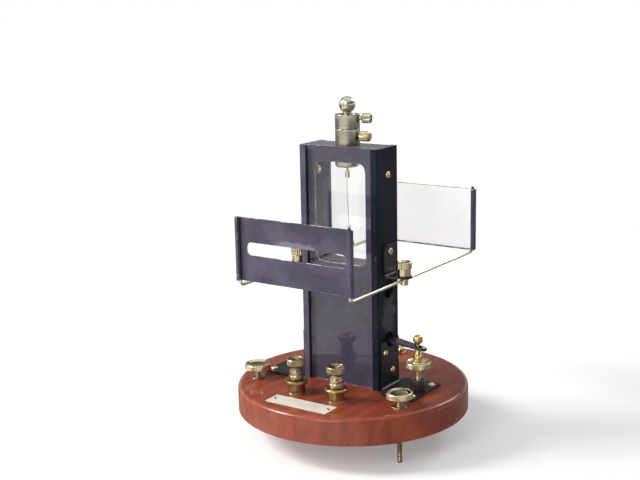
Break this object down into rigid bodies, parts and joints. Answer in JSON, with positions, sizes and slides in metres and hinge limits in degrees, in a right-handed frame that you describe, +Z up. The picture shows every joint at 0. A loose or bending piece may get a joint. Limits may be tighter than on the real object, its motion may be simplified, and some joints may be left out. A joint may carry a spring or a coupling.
{
  "type": "suspended-coil galvanometer",
  "caption": "Moving-coil mirror galvanometer: black sheet tower with sliding windows on a round levelling base, torsion head, arrest lever, and a sliding slot-and-card carrier.",
  "frame": {"origin": "centre of the base board's flat underside", "axes": "+Z up along the tower, +X to the right along the tower's front, +Y from the front to the back; the slotted holder and the terminals are on the -Y side"},
  "size_m": [0.16, 0.1775, 0.2343],
  "materials": {
    "mahogany": "turned, stained red-brown and varnished",
    "tower_lacquer": "purple-black lacquer on sheet brass, worn at the edges",
    "black_lacquer": "glossy black lacquer on sheet brass",
    "brass": "turned and lacquered",
    "rod_brass": "drawn wire, pale from handling",
    "collar_bronze": "turned, darkened grey-brown",
    "copper": "copper wire and washers, lacquered",
    "strip_bronze": "rolled phosphor bronze strip",
    "magnet_steel": "hardened magnet steel, oil blackened",
    "soft_iron": "machined soft iron",
    "ebonite": "turned ebonite, polished",
    "glass": "plain sheet glass",
    "mirror": "silvered glass disc",
    "white_card": "plain matt white card"
  },
  "bodies": {
    "stand": {"base_board": "mahogany", "level_bushes": "brass", "back_foot": "brass", "back_foot_nut": "brass", "side_channel_left": "tower_lacquer", "side_channel_right": "tower_lacquer", "cover_rails": "black_lacquer", "top_plate": "tower_lacquer", "wall_screws": "brass", "wall_nuts": "brass", "ear_washers": "copper", "foot_angle_left": "black_lacquer", "foot_angle_right": "black_lacquer", "wood_screws": "brass", "carrier_brackets": "black_lacquer", "clamp_studs": "brass", "torsion_socket": "collar_bronze", "lock_nut": "collar_bronze", "nameplate": "brass", "nameplate_pins": "brass", "terminal_posts": "brass", "magnet": "magnet_steel", "pole_pieces": "soft_iron", "iron_core": "soft_iron", "core_bracket": "brass", "magnet_pillars": "brass", "lever_bearing": "brass", "lever_pin": "soft_iron", "lift_boss": "ebonite"},
    "front_cover": {"front_plate": "tower_lacquer", "front_glass": "glass"},
    "rear_cover": {"rear_plate": "tower_lacquer", "rear_glass": "glass"},
    "torsion_collar": {"torsion_collar": "collar_bronze"},
    "collar_clamp": {"collar_clamp_screw": "brass"},
    "socket_clamp": {"socket_clamp_screw": "brass"},
    "stem": {"suspension_stem": "brass", "strip_clamp": "brass"},
    "coil": {"suspension_strip": "strip_bronze", "mirror": "mirror", "coil_winding": "copper", "coil_spindle": "brass"},
    "lift_screw": {"lift_spindle": "brass"},
    "lift_wheel": {"lift_wheel": "brass"},
    "lever": {"lever_arm": "black_lacquer", "lever_tip_screw": "brass"},
    "arrest": {"arrest_rod": "brass"},
    "carrier": {"carrier_rods": "rod_brass", "slot_holder": "tower_lacquer", "card_holder": "tower_lacquer"},
    "card": {"white_card": "white_card"},
    "clamp_nut_left": {"clamp_nut_left": "brass"},
    "clamp_nut_right": {"clamp_nut_right": "brass"},
    "terminal_nut_left": {"terminal_nut_left": "brass"},
    "terminal_nut_right": {"terminal_nut_right": "brass"},
    "level_rod_left": {"level_rod_left": "brass"},
    "level_rod_right": {"level_rod_right": "brass"},
    "level_head_left": {"level_head_left": "brass"},
    "level_head_right": {"level_head_right": "brass"}
  },
  "joints": [
    {"name": "front_cover_lift", "type": "slide", "parent": "stand", "child": "front_cover", "axis": [0, 0, 1], "range_m": [0, 0.16]},
    {"name": "rear_cover_lift", "type": "slide", "parent": "stand", "child": "rear_cover", "axis": [0, 0, 1], "range_m": [0, 0.16]},
    {"name": "torsion_turn", "type": "hinge", "parent": "stand", "child": "torsion_collar", "pos_m": [0, -0.0019, 0.1939], "axis": [0, 0, 1], "range_deg": [-15, 1]},
    {"name": "suspension_height", "type": "slide", "parent": "torsion_collar", "child": "stem", "axis": [0, 0, 1], "range_m": [-0.0005, 0.0025]},
    {"name": "coil_swing", "type": "hinge", "parent": "stem", "child": "coil", "pos_m": [0, -0.0019, 0.1157], "axis": [0, 0, 1], "range_deg": [-25, 25], "stiffness_Nm_per_rad": 0.00001},
    {"name": "collar_clamp_turn", "type": "hinge", "parent": "torsion_collar", "child": "collar_clamp", "pos_m": [0, -0.0019, 0.2006], "axis": [0.9511, 0.309, 0], "range_deg": [0, 360]},
    {"name": "socket_clamp_turn", "type": "hinge", "parent": "stand", "child": "socket_clamp", "pos_m": [0, -0.0019, 0.1888], "axis": [0.9962, 0.0872, 0], "range_deg": [0, 360]},
    {"name": "lift_screw_travel", "type": "slide", "parent": "stand", "child": "lift_screw", "axis": [0, 0, 1], "range_m": [-0.001, 0.0022]},
    {"name": "lift_wheel_turn", "type": "hinge", "parent": "lift_screw", "child": "lift_wheel", "pos_m": [0.0539, -0.0026, 0.0387], "axis": [0, 0, 1], "range_deg": [-514.29, 1131.43]},
    {"name": "lever_swing", "type": "hinge", "parent": "stand", "child": "lever", "pos_m": [-0.018, -0.0026, 0.056], "axis": [0, -1, 0], "range_deg": [-0.8, 1.76]},
    {"name": "arrest_travel", "type": "slide", "parent": "stand", "child": "arrest", "axis": [0, 0, 1], "range_m": [-0.00026, 0.00056]},
    {"name": "carrier_slide", "type": "slide", "parent": "stand", "child": "carrier", "axis": [0, 1, 0], "range_m": [-0.078, 0.048]},
    {"name": "card_lift", "type": "slide", "parent": "carrier", "child": "card", "axis": [0, 0, 1], "range_m": [0, 0.05]},
    {"name": "clamp_nut_left_turn", "type": "hinge", "parent": "stand", "child": "clamp_nut_left", "pos_m": [-0.043, -0.0015, 0.102], "axis": [0, 0, 1], "range_deg": [0, 720]},
    {"name": "clamp_nut_right_turn", "type": "hinge", "parent": "stand", "child": "clamp_nut_right", "pos_m": [0.043, -0.0015, 0.102], "axis": [0, 0, 1], "range_deg": [0, 720]},
    {"name": "terminal_nut_left_turn", "type": "hinge", "parent": "stand", "child": "terminal_nut_left", "pos_m": [-0.0161, -0.0447, 0.035], "axis": [0, 0, 1], "range_deg": [0, 1080]},
    {"name": "terminal_nut_right_turn", "type": "hinge", "parent": "stand", "child": "terminal_nut_right", "pos_m": [0.0161, -0.0447, 0.035], "axis": [0, 0, 1], "range_deg": [0, 1080]},
    {"name": "level_left_travel", "type": "slide", "parent": "stand", "child": "level_rod_left", "axis": [0, 0, -1], "range_m": [0, 0.004]},
    {"name": "level_left_turn", "type": "hinge", "parent": "level_rod_left", "child": "level_head_left", "pos_m": [-0.05759, -0.03325, 0.0273], "axis": [0, 0, 1], "range_deg": [-2057.14, 0]},
    {"name": "level_right_travel", "type": "slide", "parent": "stand", "child": "level_rod_right", "axis": [0, 0, -1], "range_m": [0, 0.004]},
    {"name": "level_right_turn", "type": "hinge", "parent": "level_rod_right", "child": "level_head_right", "pos_m": [0.05759, -0.03325, 0.0273], "axis": [0, 0, 1], "range_deg": [-2057.14, 0]}
  ],
  "couplings": [
    {"joint": "lift_screw_travel", "follows": "lift_wheel_turn", "m_per_rad": 0.00011141},
    {"joint": "lever_swing", "follows": "lift_wheel_turn", "ratio": 0.0015495},
    {"joint": "arrest_travel", "follows": "lift_wheel_turn", "m_per_rad": 0.000027891},
    {"joint": "level_left_travel", "follows": "level_left_turn", "m_per_rad": -0.00011141},
    {"joint": "level_right_travel", "follows": "level_right_turn", "m_per_rad": -0.00011141}
  ]
}
